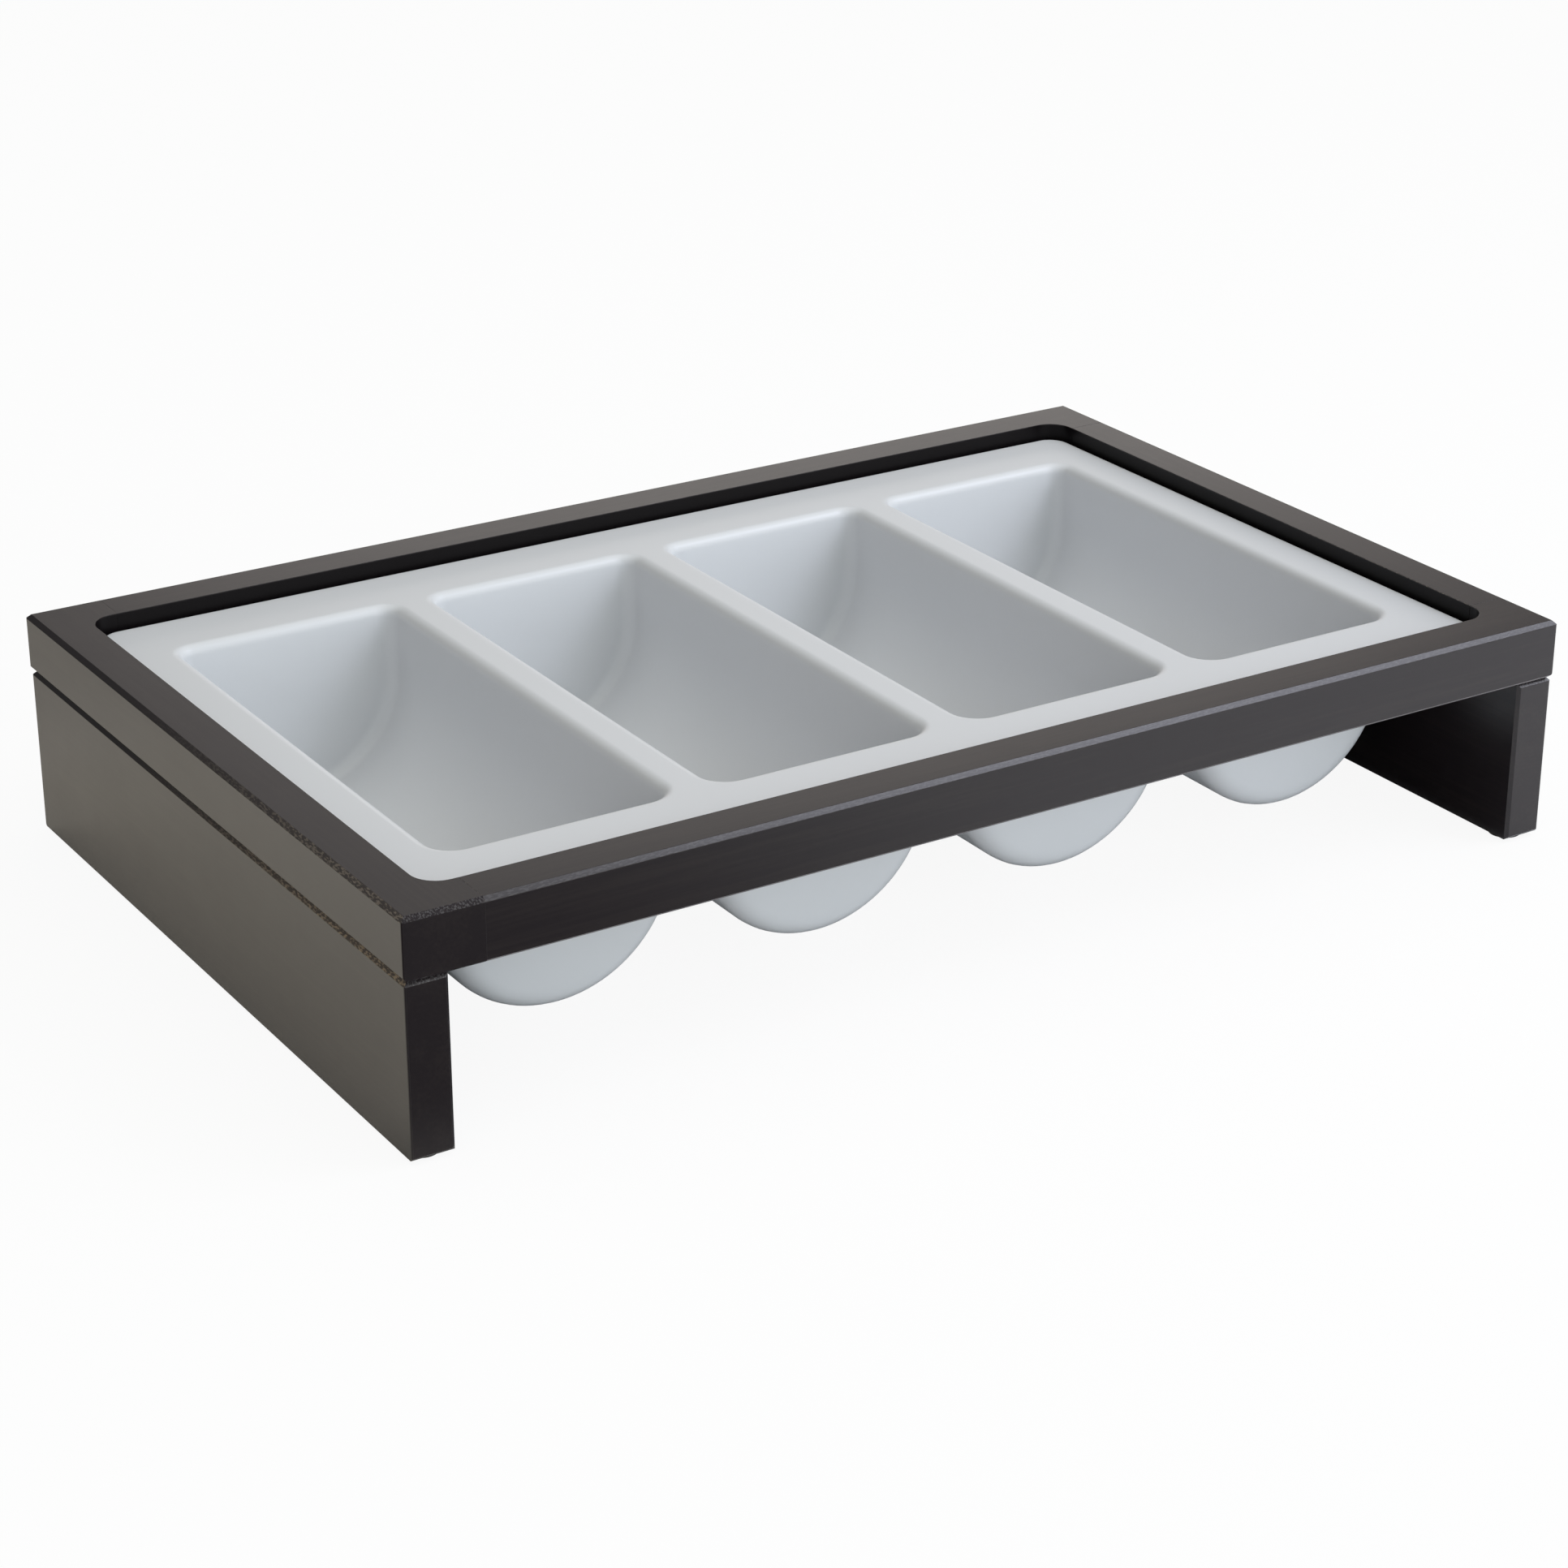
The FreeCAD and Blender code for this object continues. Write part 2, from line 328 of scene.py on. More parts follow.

# Painted shade on the walls of the opening, below the frame's top: how much of the stain's colour
# is left there.
OPENING_PAINTED_SHADE = 0.3
# Shares of the worn colours: a ground, and what flecks or a kind of edge add to it.
PALE_GROUND = 0.15
PALE_ON_ENDS = 0.22
PALE_LEFT_FLECKS = 0.25
RUBBED_GROUND = 0.15
RUBBED_FLECKS = 0.7
RUBBED_UPPER_EDGE = 0.3
RUBBED_LOWER_EDGE = 0.7
# Shares of the painted highlight along the front edges: on the faces that look down, and on the
# arris.
UNDER_EDGE_HIGHLIGHT = 0.7
ARRIS_HIGHLIGHT = 0.05


class WoodEdges:
    """Masks that are 1 on the edges that their names say.

    Away from edges they are 0, but for arris and under, which are used together with front.
    """

    def __init__(self, graph, place, grain_axis):
        facing = graph.add("NewGeometry", output="True Normal")
        squareness = graph.squareness(facing)
        depth = graph.part_of(place, 1)
        bevelled = 1.0 - graph.spread(squareness, *SQUARE_FACE)
        self.arris = graph.spread(squareness, *ARRIS_FACE)
        self.front = bevelled * graph.spread(depth, *FRONT_EDGE_Y)
        self.cut_end = graph.spread(graph.size_of_part(facing, grain_axis), *END_FACE) * bevelled
        self.level = graph.spread(graph.size_of_part(facing, 2), *LEVEL_FACE) * bevelled
        self.left = graph.spread(graph.part_of(facing, 0), *LEFT_FACE) * self.level
        self.left_worn = self.left * graph.spread(depth, *WORN_LEFT_Y)
        self.under = graph.spread(graph.part_of(facing, 2), *DOWN_FACE)


def wood_grain(graph, place, grain_axis):
    """The fine grain along an axis, and the mask of the paler streaks in it."""
    lengthways = graph.drawn_out(place, grain_axis, GRAIN_STRETCH)
    broad = graph.noise(
        lengthways, BROAD_GRAIN_SCALE, detail=3.0, roughness=0.55, distortion=0.6)
    fine = graph.noise(lengthways, FINE_GRAIN_SCALE, detail=2.0, roughness=0.6)
    return fine, graph.spread(broad * 0.55 + fine * 0.45, *STREAK_FIELD)


def opening_walls(graph, place):
    """1 on the walls of the frame's opening, below the frame's top, and 0 elsewhere. There the
    stain gets painted shade and less lacquer.
    """
    inside = graph.within(place, 0, OPENING_X) * graph.within(place, 1, OPENING_Y)
    return inside * graph.spread(graph.part_of(place, 2), *BELOW_TOP_Z)


def edge_flecks(graph, place, edges, grain_axis):
    """Flecks on the level edges, which on the left ones fade out towards the back."""
    fleck_place = graph.drawn_out(place, grain_axis, FLECK_STRETCH)
    field = graph.noise(fleck_place, FLECK_SCALE, detail=1.0, roughness=0.5)
    flecks = graph.spread(field, *FLECK_FIELD) * edges.level
    return flecks * (1.0 - edges.left + edges.left_worn)


def worn_and_highlit_colour(graph, place, colour, edges, flecks, settings):
    """The wood's colour with worn flecks on its edges, and a painted highlight as pale lines along
    the front ones.
    """
    paler = flecks * (edges.cut_end * PALE_ON_ENDS + PALE_GROUND)
    paler = paler + edges.left_worn * (flecks * PALE_LEFT_FLECKS + PALE_GROUND)
    colour = graph.mix(paler, colour, settings.pale_fleck)

    lower_edge = graph.spread(graph.part_of(place, 2), *LOWER_EDGE_Z)
    rubbed = edges.left_worn * (lower_edge * RUBBED_LOWER_EDGE + RUBBED_UPPER_EDGE)
    rubbed = rubbed * (flecks * RUBBED_FLECKS + RUBBED_GROUND)
    colour = graph.mix(rubbed, colour, settings.golden_fleck)

    # Painted highlight: pale lines on the front arris and on the front edges that look down.
    under_edge_highlight = edges.under * (1.0 - edges.cut_end) * UNDER_EDGE_HIGHLIGHT
    lines = edges.front * under_edge_highlight.math("MAXIMUM", edges.arris * ARRIS_HIGHLIGHT)
    return graph.mix(lines, colour, settings.edge_highlight)


def stained_wood(name, grain_axis, open_ends, settings):
    """Dark stained and lacquered wood whose grain runs along an axis: 0 for X, 1 for Y.

    The lacquer sinks into milled edges across the grain by the share of open_ends.
    """
    material, graph = new_material(name)
    place = graph.object_place()
    edges = WoodEdges(graph, place, grain_axis)
    flecks = edge_flecks(graph, place, edges, grain_axis)
    fine, streaks = wood_grain(graph, place, grain_axis)
    inside = opening_walls(graph, place)

    colour = graph.mix(streaks, settings.stain, settings.light_grain)
    # Painted shade: the walls of the opening are darkened to a share of the stain's colour.
    colour = graph.mix(inside, colour, scaled(settings.stain, OPENING_PAINTED_SHADE))
    colour = worn_and_highlit_colour(graph, place, colour, edges, flecks, settings)

    wear = graph.noise(place, scale=18.0, detail=4.0, roughness=0.6)
    sunken = (edges.cut_end * open_ends).math("MAXIMUM", inside)
    finish_surface(graph, {
        "Base Color": colour, "Roughness": wear * 0.12 + 0.36, "Specular IOR Level": 0.1,
        "Coat Weight": 1.0 - sunken * 0.85, "Coat Roughness": 0.26, "Coat IOR": 1.47,
        "Normal": graph.bump(fine * 0.35 + flecks, strength=0.1, distance=0.2 * MM)})
    return material


def moulded_plastic(settings):
    """Pale satin plastic with the faint unevenness of a moulding."""
    material, graph = new_material("moulded plastic")
    place = graph.object_place()
    clouds = graph.noise(place, scale=9.0, detail=2.0, roughness=0.5)
    colour = graph.mix(clouds, scaled(settings.plastic, 0.965), settings.plastic)
    sheen = graph.noise(place, scale=160.0, detail=2.0, roughness=0.5)
    ripple = graph.noise(place, scale=90.0, detail=1.0, roughness=0.5)
    finish_surface(graph, {
        "Base Color": colour, "Roughness": sheen * 0.06 + 0.29, "IOR": 1.5,
        "Normal": graph.bump(ripple, strength=0.05, distance=0.4 * MM)})
    return material


def foot_material(settings):
    """Black rubber with a dusty grain."""
    material, graph = new_material("foot rubber")
    dust = graph.noise(graph.object_place(), scale=1400.0, detail=3.0, roughness=0.6)
    dusty = scaled(settings.foot_rubber, 2.6)
    colour = graph.mix(graph.spread(dust, 0.45, 0.75), settings.foot_rubber, dusty)
    finish_surface(graph, {
        "Base Color": colour, "Roughness": dust * 0.2 + 0.55,
        "Normal": graph.bump(dust, strength=0.2, distance=0.1 * MM)})
    return material


def dowel_material(settings):
    """Unstained beech for the dowels."""
    material, graph = new_material("dowel wood")
    lengthways = graph.drawn_out(graph.object_place(), 2, 0.2)
    fibres = graph.noise(lengthways, scale=900.0, detail=3.0, roughness=0.6)
    darker = scaled(settings.dowel_wood, 0.6)
    colour = graph.mix(graph.spread(fibres, 0.4, 0.7), settings.dowel_wood, darker)
    finish_surface(graph, {
        "Base Color": colour, "Roughness": fibres * 0.2 + 0.5,
        "Normal": graph.bump(fibres, strength=0.2, distance=0.1 * MM)})
    return material


# Into how many steps the round stretches are divided.
ARC_STEPS = 48
WALL_STEPS = 6
CORNER_STEPS = 8
MOUTH_STEPS = 8
RIM_CORNER_STEPS = 10
SHOULDER_STEPS = 6
ARRIS_STEPS = 2
FOOT_STEPS = 48
FOOT_ROUNDING_STEPS = 3
# A narrow band beside each rounding, which keeps the shading of the flat faces flat.
GUARD = 0.8 * MM
LEAST_SHOULDER = 0.3 * MM
HEIGHT_TOLERANCE = 0.01 * MM
# Points nearer than this are one point: in the CAD nodes, and in what is made here.
CAD_MERGE_DISTANCE = 0.01 * MM
MERGE_DISTANCE = 0.001 * MM
FLAT_ANGLE = math.radians(0.5)
SHARP_ANGLE = math.radians(30)
LEVEL_NORMAL = 0.999


def mesh_from(bm, name):
    """A mesh with a bmesh's faces. The bmesh is freed."""
    mesh = bpy.data.meshes.new(name)
    bm.to_mesh(mesh)
    bm.free()
    return mesh


def take_in(bm, mesh):
    """Adds a passing mesh to a bmesh and removes it."""
    bm.from_mesh(mesh)
    bpy.data.meshes.remove(mesh)


def linked(name, data):
    """A new object in the scene."""
    made = bpy.data.objects.new(name, data)
    bpy.context.scene.collection.objects.link(made)
    return made


def object_from(bm, name, material, body):
    """Turns a bmesh into a smooth-shaded piece that rides on a body."""
    mesh = mesh_from(bm, name)
    mesh.shade_smooth()
    mesh.materials.append(material)
    piece = linked(name, mesh)
    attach(piece, body)
    return piece


def quarter_turn(steps):
    """The angles that divide a quarter turn evenly, from 0 on."""
    return [math.pi / 2 * step / steps for step in range(steps + 1)]


def way_out_of(point, inner_x, inner_y):
    """The level direction from a middle rectangle, given by its half sides, to a point."""
    nearest = Vector((
        min(inner_x, max(-inner_x, point.x)), min(inner_y, max(-inner_y, point.y)), point.z))
    return (point - nearest).normalized()


class TroughShape:
    """One side of a trough's wall: its inside, or with a thickness the outside."""

    def __init__(self, settings, thickness):
        self.settings = settings
        self.thickness = thickness
        self.radius = settings.compartment_width / 2 + thickness
        self.top_z = RIM_HIGH.z
        self.lowest_z = self.top_z - settings.compartment_depth
        self.axis_z = self.lowest_z + settings.compartment_width / 2
        self.mouth_z = self.top_z - settings.mouth_rounding

    def half_length(self, z):
        """From the trough's middle to its end wall, at a height."""
        lean = self.settings.end_draft
        drawn_in = (self.top_z - z) * math.tan(lean)
        return self.settings.compartment_length / 2 - drawn_in + self.thickness / math.cos(lean)

    def corner(self, z, side):
        """Rounding between side wall and end wall at a height, at the front (-1) or back (1)."""
        settings = self.settings
        share = min(1.0, max(0.0, (z - self.lowest_z) / (self.mouth_z - self.lowest_z)))
        near_mouth = settings.front_corner if side < 0 else settings.back_corner
        inside = settings.floor_corner + (near_mouth - settings.floor_corner) * share ** 2
        return inside + self.thickness

    def wall_foot(self, point):
        """The section's point from which a point was moved inwards, and the way out there."""
        if point.z >= self.axis_z:
            outward = Vector((math.copysign(1.0, point.x), 0.0, 0.0))
            return Vector((outward.x * self.radius, 0.0, point.z)), outward
        outward = Vector((point.x, 0.0, point.z - self.axis_z)).normalized()
        return Vector((0.0, 0.0, self.axis_z)) + outward * self.radius, outward

    def end_place(self, point, side, inward, turn):
        """Where a section's point lies on an end's rounding, or a step inwards on its wall."""
        foot, outward = self.wall_foot(point)
        corner = self.corner(foot.z, side)
        moved = foot - outward * (corner * (1 - math.cos(turn)) + inward)
        reach = self.half_length(moved.z) - corner * (1 - math.sin(turn))
        return Vector((moved.x, side * reach, moved.z))

    def way_out(self, point):
        """The level direction that leads out of the mouth at a point on its outline."""
        corner = self.corner(self.mouth_z, -1 if point.y < 0 else 1)
        return way_out_of(point, self.radius - corner, self.half_length(self.mouth_z) - corner)


def grown(bm, edges):
    """Extrudes edges and gives the new edges and the new vertices."""
    made = bmesh.ops.extrude_edge_only(bm, edges=edges)["geom"]
    new_edges = [part for part in made if isinstance(part, bmesh.types.BMEdge)]
    new_verts = [part for part in made if isinstance(part, bmesh.types.BMVert)]
    return new_edges, new_verts


def grow_rings(bm, edges, rings, way_out):
    """Grows an outline ring by ring, each given by how far it lies out from the first and up."""
    done_out, done_up = 0.0, 0.0
    for out, up in rings:
        edges, verts = grown(bm, edges)
        for vert in verts:
            vert.co += way_out(vert.co) * (out - done_out)
            vert.co.z += up - done_up
        done_out, done_up = out, up


def trough_section(bm, shape):
    """The trough's section as a chain of edges in the middle of its length."""
    first = bm.verts.new((-shape.radius, 0.0, shape.axis_z))
    arc = bmesh.ops.spin(
        bm, geom=[first], axis=(0, 1, 0), cent=(0, 0, shape.axis_z), angle=-math.pi,
        steps=ARC_STEPS, use_merge=False)
    last = next(part for part in arc["geom_last"] if isinstance(part, bmesh.types.BMVert))
    rise = (shape.mouth_z - shape.axis_z) / WALL_STEPS
    for tip in (first, last):
        for _ in range(WALL_STEPS):
            tip = bmesh.ops.extrude_vert_indiv(bm, verts=[tip])["verts"][0]
            tip.co.z += rise
    return list(bm.edges)


def end_of_trough(bm, edges, shape, side):
    """Lays the rings of one end's rounding, then closes the end wall."""
    edges, verts = grown(bm, edges)
    for vert in verts:
        vert.co = shape.end_place(vert.co, side, 0.0, 0.0)
        vert.co.y -= side * GUARD
    stations = [(0.0, turn) for turn in quarter_turn(CORNER_STEPS)]
    stations.append((GUARD, math.pi / 2))
    for inward, turn in stations:
        edges, verts = grown(bm, edges)
        for vert in verts:
            vert.co = shape.end_place(vert.co, side, inward, turn)
    bmesh.ops.contextual_create(bm, geom=edges)


def round_mouth(bm, shape):
    """Rolls the mouth's outline outwards and up to the rim's flat."""
    rounding = shape.settings.mouth_rounding - shape.thickness
    edges = [
        edge for edge in bm.edges
        if edge.is_boundary and min(vert.co.z for vert in edge.verts) > shape.mouth_z - GUARD]
    rings = [
        (rounding * (1 - math.cos(turn)), rounding * math.sin(turn))
        for turn in quarter_turn(MOUTH_STEPS)[1:]]
    rings.append((rounding + GUARD, rounding))
    grow_rings(bm, edges, rings, shape.way_out)


def trough_skin(settings, thickness, centre_x):
    """One trough's skin with its rounded mouth, as a mesh in place."""
    shape = TroughShape(settings, thickness)
    bm = bmesh.new()
    middle = trough_section(bm, shape)
    for side in (-1, 1):
        end_of_trough(bm, middle, shape, side)
    round_mouth(bm, shape)
    bmesh.ops.translate(bm, verts=bm.verts, vec=(centre_x, 0, 0))
    return mesh_from(bm, "trough skin")


def rim_start(bm, half_x, half_y, corner, z):
    """The edges of a level rectangle with rounded corners, where the rim's flat ends."""
    plate = bmesh.ops.create_grid(bm, x_segments=1, y_segments=1, size=1.0)
    for vert in plate["verts"]:
        vert.co = Vector((vert.co.x * half_x, vert.co.y * half_y, z))
    bmesh.ops.bevel(
        bm, geom=plate["verts"], affect="VERTICES", offset=corner, offset_type="OFFSET",
        segments=RIM_CORNER_STEPS, profile=0.5, material=-1)
    edges = [edge for edge in bm.edges if edge.is_boundary]
    bmesh.ops.delete(bm, geom=list(bm.faces), context="FACES_ONLY")
    return edges


def rim_border(bm, settings, thickness):
    """The rim's border from its flat over the shoulder and down its lip."""
    top = RIM_HIGH.z - thickness
    shoulder = max(settings.rim_shoulder - thickness, LEAST_SHOULDER)
    corner = settings.rim_corner
    edges = rim_start(
        bm, RIM_HIGH.x - thickness - shoulder - GUARD, RIM_HIGH.y - thickness - shoulder - GUARD,
        corner - thickness - shoulder - GUARD, top)
    rings = [(GUARD, 0.0)]
    rings += [
        (GUARD + shoulder * math.sin(turn), -shoulder * (1 - math.cos(turn)))
        for turn in quarter_turn(SHOULDER_STEPS)[1:]]
    rings += [(GUARD + shoulder, -shoulder - GUARD), (GUARD + shoulder, LIP_FOOT_Z - top)]
    grow_rings(
        bm, edges, rings,
        lambda point: way_out_of(point, RIM_HIGH.x - corner, RIM_HIGH.y - corner))


def face_upwards(bm, upwards):
    """Turns an open skin so that its flat faces look up, or down."""
    flat = max(bm.faces, key=lambda face: (abs(face.normal.z) > LEVEL_NORMAL) * face.calc_area())
    if (flat.normal.z > 0) != upwards:
        bmesh.ops.reverse_faces(bm, faces=bm.faces)


def insert_skin(settings, thickness):
    """The whole insert's upper skin, or with a thickness its underside, as a mesh."""
    bm = bmesh.new()
    rim_border(bm, settings, thickness)
    pitch = settings.compartment_width + settings.divider_width
    middle = (settings.compartment_count - 1) / 2
    for index in range(settings.compartment_count):
        take_in(bm, trough_skin(settings, thickness, (index - middle) * pitch))
    lowest = RIM_HIGH.z - thickness - HEIGHT_TOLERANCE
    outlines = [
        edge for edge in bm.edges
        if edge.is_boundary and min(vert.co.z for vert in edge.verts) > lowest]
    bmesh.ops.triangle_fill(bm, use_beauty=True, use_dissolve=False, edges=outlines)
    bmesh.ops.remove_doubles(bm, verts=bm.verts, dist=MERGE_DISTANCE)
    bmesh.ops.recalc_face_normals(bm, faces=bm.faces)
    face_upwards(bm, thickness == 0.0)
    return mesh_from(bm, "insert skin")


def make_insert(settings):
    """The insert: an upper skin and an underside, joined at the lip's foot."""
    bm = bmesh.new()
    for thickness in (0.0, settings.wall):
        take_in(bm, insert_skin(settings, thickness))
    feet = [edge for edge in bm.edges if edge.is_boundary]
    bmesh.ops.bridge_loops(bm, edges=feet)
    return bm


def make_wooden(name):
    """A rail or panel: a merged copy of its CAD node without the lines on its flat faces."""
    bm = bmesh.new()
    bm.from_mesh(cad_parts[name].data)
    bmesh.ops.remove_doubles(bm, verts=bm.verts, dist=CAD_MERGE_DISTANCE)
    bmesh.ops.dissolve_limit(
        bm, angle_limit=FLAT_ANGLE, verts=bm.verts, edges=bm.edges, delimit=set())
    return bm


def soften_edges(piece, width):
    """Adds a narrow rounded arris to a wooden piece's sharp edges."""
    bevel = piece.modifiers.new("arris", "BEVEL")
    bevel.width = width
    bevel.segments = ARRIS_STEPS
    bevel.limit_method = "ANGLE"
    bevel.angle_limit = SHARP_ANGLE
    bevel.harden_normals = True
    merged = piece.modifiers.new("merged corners", "WELD")
    merged.merge_threshold = MERGE_DISTANCE
    weighted = piece.modifiers.new("flat faces", "WEIGHTED_NORMAL")
    weighted.keep_sharp = True


def add_wooden(name, material, settings):
    """Puts a finished rail or panel in its CAD node's place."""
    piece = object_from(make_wooden(name), "wooden_" + name, material, "stand")
    soften_edges(piece, settings.edge_softening)
    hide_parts(name)


def make_foot(name, settings):
    """A round glide with softened edges."""
    low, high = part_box(name)
    centre = (low + high) / 2
    bm = bmesh.new()
    disc = bmesh.ops.create_circle(
        bm, cap_ends=True, radius=(high.x - low.x) / 2, segments=FOOT_STEPS)
    bmesh.ops.translate(bm, verts=disc["verts"], vec=(centre.x, centre.y, low.z))
    raised = bmesh.ops.extrude_face_region(bm, geom=list(bm.faces))
    top = [part for part in raised["geom"] if isinstance(part, bmesh.types.BMVert)]
    bmesh.ops.translate(bm, verts=top, vec=(0, 0, high.z - low.z))
    bmesh.ops.recalc_face_normals(bm, faces=bm.faces)
    outlines = [
        edge for edge in bm.edges if len({len(face.verts) for face in edge.link_faces}) == 2]
    bmesh.ops.bevel(
        bm, geom=outlines, affect="EDGES", offset=settings.foot_rounding, offset_type="OFFSET",
        segments=FOOT_ROUNDING_STEPS, profile=0.5, material=-1)
    return bm


class ORGANIZER_OT_insert(bpy.types.Operator):
    """Mould the insert with its rim and troughs"""

    bl_idname = "organizer.insert"
    bl_label = "Insert"

    def execute(self, context):
        settings = context.scene.organizer_insert
        piece = object_from(
            make_insert(settings), "moulded_insert", moulded_plastic(settings), "insert")
        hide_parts("cutlery_insert")
        return {"FINISHED"}


class ORGANIZER_OT_rails(bpy.types.Operator):
    """Plane, stain and lacquer the frame's four rails"""

    bl_idname = "organizer.rails"
    bl_label = "Rails"

    def execute(self, context):
        settings = context.scene.organizer_stand
        lengthways = stained_wood("stained wood along X", 0, 0.0, settings)
        crossways = stained_wood("stained wood along Y", 1, 1.0, settings)
        for name in RAILS:
            add_wooden(name, crossways if "end" in name else lengthways, settings)
        return {"FINISHED"}


class ORGANIZER_OT_panels(bpy.types.Operator):
    """Plane, stain and lacquer the two side panels"""

    bl_idname = "organizer.panels"
    bl_label = "Side panels"

    def execute(self, context):
        settings = context.scene.organizer_stand
        material = stained_wood("stained board", 1, 0.0, settings)
        for name in PANELS:
            add_wooden(name, material, settings)
        return {"FINISHED"}


class ORGANIZER_OT_feet(bpy.types.Operator):
    """Turn the four feet"""

    bl_idname = "organizer.feet"
    bl_label = "Feet"

    def execute(self, context):
        settings = context.scene.organizer_stand
        material = foot_material(settings)
        for name in FEET:
            piece = object_from(
                make_foot(name, settings), "round_" + name, material, "stand")
            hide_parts(name)
        return {"FINISHED"}


class ORGANIZER_OT_dowels(bpy.types.Operator):
    """Give the hidden dowels their wood"""

    bl_idname = "organizer.dowels"
    bl_label = "Dowels"

    def execute(self, context):
        material = dowel_material(context.scene.organizer_stand)
        for name in DOWELS:
            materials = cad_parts[name].data.materials
            materials.clear()
            materials.append(material)
        return {"FINISHED"}


# What gloss shows of the floor, as ranges at whose ends a mask is 0 and 1: a painted shadow before
# and under the stand, and painted warm light at its left that dims towards the back.
DARK_FRONT_Y = (-0.14, -0.24)
DARK_LEFT_X = (0.14, -0.16)
WARM_LEFT_X = (-0.22, -0.32)
WARM_BACK_Y = (0.14, 0.38)
PANEL_INSET = 25 * MM
PAINTED_WARM_TINT = (1.24, 1.15, 1.03)
WARM_BACK_SHARE = 0.66
PAINTED_SHADOW_SHARE = 0.15
# How much of the floor that the camera sees is plain white. The rest keeps the shadow.
WHITE_SHARE = 0.92
FLOOR_CELLS = 4

ROOM_LIGHT = (0.12, 0.12, 0.12)
BRIGHTEST_MIRRORED = (1.00, 0.96, 0.92)
# Soft glows around the room, all angles in degrees: the azimuth from +Y towards +X, the
# elevation, and how far from the middle the glow starts to fade and ends.
GLOWS = (
    dict(azimuth=32, elevation=9, inner=7, outer=17, colour=(1.12, 1.01, 0.94)),
    dict(azimuth=0, elevation=90, inner=20, outer=60, colour=(0.90, 0.90, 0.84)),
    dict(azimuth=165, elevation=8, inner=15, outer=45, colour=(1.52, 1.70, 1.74)),
    dict(azimuth=100, elevation=10, inner=10, outer=50, colour=(0.50, 0.50, 0.50)),
)
# The low lamps light what is matt but aren't seen mirrored in the level wood from behind.
LAMPS = (
    dict(name="high lamp", place=(1.15, -0.80, 1.50), target=(0.0, 0.0, 0.1), size=(0.9, 0.9),
         glow=4.6, colour=(0.83, 0.86, 1.0), mirrored=True),
    dict(name="near lamp", place=(0.75, -0.75, 0.35), target=(0.1, -0.1, 0.05), size=(0.8, 0.6),
         glow=1.45, colour=(0.88, 0.89, 1.0), mirrored=False),
    dict(name="left lamp", place=(-1.10, -0.90, 0.35), target=(0.0, -0.1, 0.07), size=(1.1, 0.6),
         glow=1.0, colour=(1.0, 0.98, 0.95), mirrored=False),
)
# The sensor's width is in millimetres, as Blender takes it.
SENSOR_WIDTH = 36.0
NEAR_CLIP = 0.05


def floor_in_gloss(graph, place, colour, pale):
    """The floor's colour, with a painted shadow before and under the stand and painted warm light
    at its left, both seen only in gloss.
    """
    across, depth = graph.part_of(place, 0), graph.part_of(place, 1)
    # Painted shadow, seen only in gloss: before the stand and under it.
    dark = graph.spread(depth, *DARK_FRONT_Y) * graph.spread(across, *DARK_LEFT_X)
    beneath = graph.within(place, 0, STAND_HIGH.x - PANEL_INSET) * graph.within(
        place, 1, STAND_HIGH.y)
    dark = dark.math("MAXIMUM", beneath)
    # Painted warm light, seen only in gloss, which dims towards the back.
    warm = tuple(tint * part for tint, part in zip(PAINTED_WARM_TINT, pale))
    warm = graph.mix(graph.spread(depth, *WARM_BACK_Y), warm, scaled(warm, WARM_BACK_SHARE))
    mirrored = graph.mirrored()
    colour = graph.mix(graph.spread(across, *WARM_LEFT_X) * mirrored, colour, warm)
    return graph.mix(dark * mirrored, colour, scaled(pale, PAINTED_SHADOW_SHARE))


def floor_material(settings):
    """A white floor that keeps the soft shadow."""
    material, graph = new_material("white floor")
    place = graph.object_place()
    pale = tuple(settings.floor_colour)
    scuffs = graph.noise(place, scale=3.0, detail=3.0, roughness=0.5)
    colour = graph.mix(scuffs, pale, scaled(pale, 0.985))
    colour = floor_in_gloss(graph, place, colour, pale)
    plain = graph.add("BsdfDiffuse", None, {"Color": colour})
    white = graph.add("Emission", None, {"Color": (1, 1, 1, 1), "Strength": 1.0})
    share = graph.seen_directly() * WHITE_SHARE
    surface = graph.add("MixShader", None, {0: share, 1: plain, 2: white})
    graph.add("OutputMaterial", None, {"Surface": surface})
    return material


def make_floor(settings):
    """The floor, a plain sheet that isn't part of the object."""
    bm = bmesh.new()
    bmesh.ops.create_grid(
        bm, x_segments=FLOOR_CELLS, y_segments=FLOOR_CELLS, size=settings.floor_size / 2)
    mesh = mesh_from(bm, "floor")
    mesh.materials.append(floor_material(settings))
    floor = linked("floor", mesh)


def pointing(azimuth, elevation):
    """The direction at an azimuth from +Y towards +X and an elevation, in degrees."""
    turn, rise = math.radians(azimuth), math.radians(elevation)
    return (math.sin(turn) * math.cos(rise), math.cos(turn) * math.cos(rise), math.sin(rise))


def with_glow(graph, direction, light, azimuth, elevation, inner, outer, colour):
    """The room's light with one soft glow added."""
    nearness = graph.towards(direction, pointing(azimuth, elevation))
    ends = [math.cos(math.radians(angle)) for angle in (outer, inner)]
    return graph.mix(graph.spread(nearness, *ends), light, colour, "ADD")


def make_world():
    """White for the camera, and for the rest a dim room with soft glows around the object."""
    world = bpy.data.worlds.new("studio")
    bpy.context.scene.world = world
    world.use_nodes = True
    graph = Graph(world.node_tree)
    direction = graph.add("TexCoord", output="Generated")
    light = ROOM_LIGHT
    for glow in GLOWS:
        light = with_glow(graph, direction, light, **glow)
    light = graph.mix(graph.mirrored(), light, BRIGHTEST_MIRRORED, "DARKEN")
    colour = graph.mix(graph.seen_directly(), light, (1.0, 1.0, 1.0))
    background = graph.add("Background", None, {"Color": colour, "Strength": 1.0})
    graph.add("OutputWorld", None, {"Surface": background})


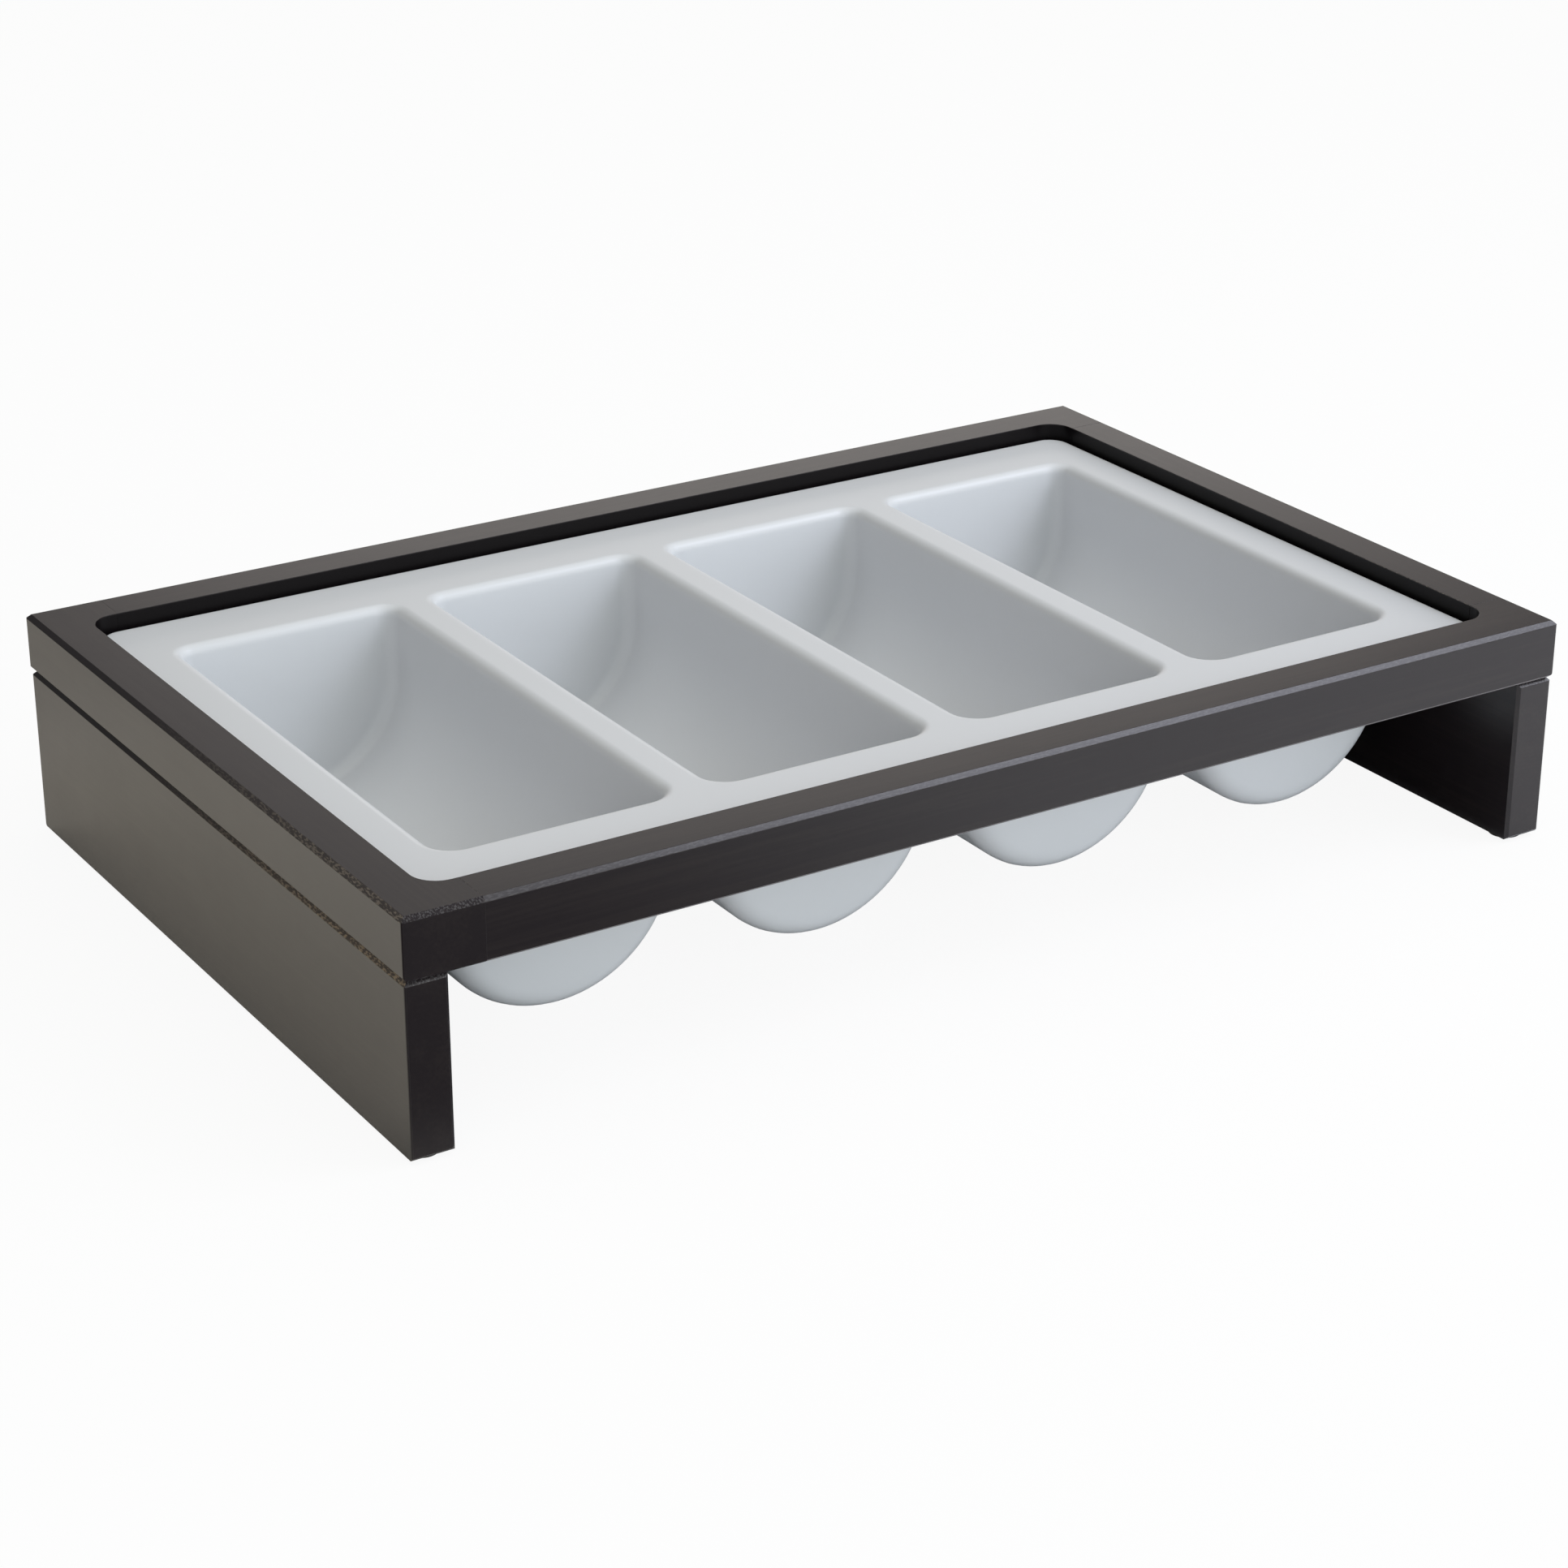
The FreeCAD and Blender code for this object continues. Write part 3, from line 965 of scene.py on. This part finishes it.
def add_lamp(name, place, target, size, glow, colour, mirrored):
    """A rectangular soft lamp of a given brightness that faces a target."""
    lamp = bpy.data.lights.new(name, "AREA")
    lamp.shape = "RECTANGLE"
    lamp.size, lamp.size_y = size
    lamp.energy = glow * size[0] * size[1] * math.pi
    lamp.color = colour
    holder = linked(name, lamp)
    holder.visible_glossy = mirrored
    away = Vector(place) - Vector(target)
    turn = away.to_track_quat("Z", "Y").to_matrix().to_4x4()
    holder.matrix_world = Matrix.Translation(place) @ turn


def make_camera(settings):
    """The camera at the photograph's angle."""
    camera = bpy.data.cameras.new("camera")
    camera.lens = settings.lens
    camera.sensor_width = SENSOR_WIDTH
    camera.clip_start = NEAR_CLIP
    holder = linked("camera", camera)
    holder.location = settings.camera_place
    holder.rotation_euler = (math.pi / 2 - settings.camera_tilt, 0.0, -settings.camera_pan)
    bpy.context.scene.camera = holder


class ORGANIZER_OT_stage(bpy.types.Operator):
    """Set the floor, the world, the lamps and the camera"""

    bl_idname = "organizer.stage"
    bl_label = "Stage"

    def execute(self, context):
        settings = context.scene.organizer_stage
        make_floor(settings)
        make_world()
        for lamp in LAMPS:
            add_lamp(**lamp)
        make_camera(settings)
        context.scene.view_settings.view_transform = "Standard"
        return {"FINISHED"}


class VIEW3D_PT_organizer(bpy.types.Panel):
    """Lists the organizer's pieces and their settings"""

    bl_label = "Cutlery Organizer"
    bl_space_type = "VIEW_3D"
    bl_region_type = "UI"
    bl_category = "Organizer"

    def draw(self, context):
        scene = context.scene
        for settings in (scene.organizer_insert, scene.organizer_stand, scene.organizer_stage):
            box = self.layout.box()
            for name in settings.__annotations__:
                box.prop(settings, name)
        for operator in STEPS:
            self.layout.operator(operator.bl_idname)


STEPS = (
    ORGANIZER_OT_stage,
    ORGANIZER_OT_insert,
    ORGANIZER_OT_rails,
    ORGANIZER_OT_panels,
    ORGANIZER_OT_feet,
    ORGANIZER_OT_dowels,
)
SETTINGS = {
    "organizer_insert": InsertSettings,
    "organizer_stand": StandSettings,
    "organizer_stage": StageSettings,
}


def register():
    """Adds the classes and the scene's settings."""
    for made in (*SETTINGS.values(), *STEPS, VIEW3D_PT_organizer):
        bpy.utils.register_class(made)
    for name, made in SETTINGS.items():
        setattr(bpy.types.Scene, name, bpy.props.PointerProperty(type=made))


def unregister():
    """Takes the settings and the classes away."""
    for name in SETTINGS:
        delattr(bpy.types.Scene, name)
    for made in (VIEW3D_PT_organizer, *reversed(STEPS), *SETTINGS.values()):
        bpy.utils.unregister_class(made)


def main():
    """Makes every piece and the stage."""
    register()
    for operator in STEPS:
        group, name = operator.bl_idname.split(".")
        getattr(getattr(bpy.ops, group), name)()


if __name__ == "__main__":
    main()
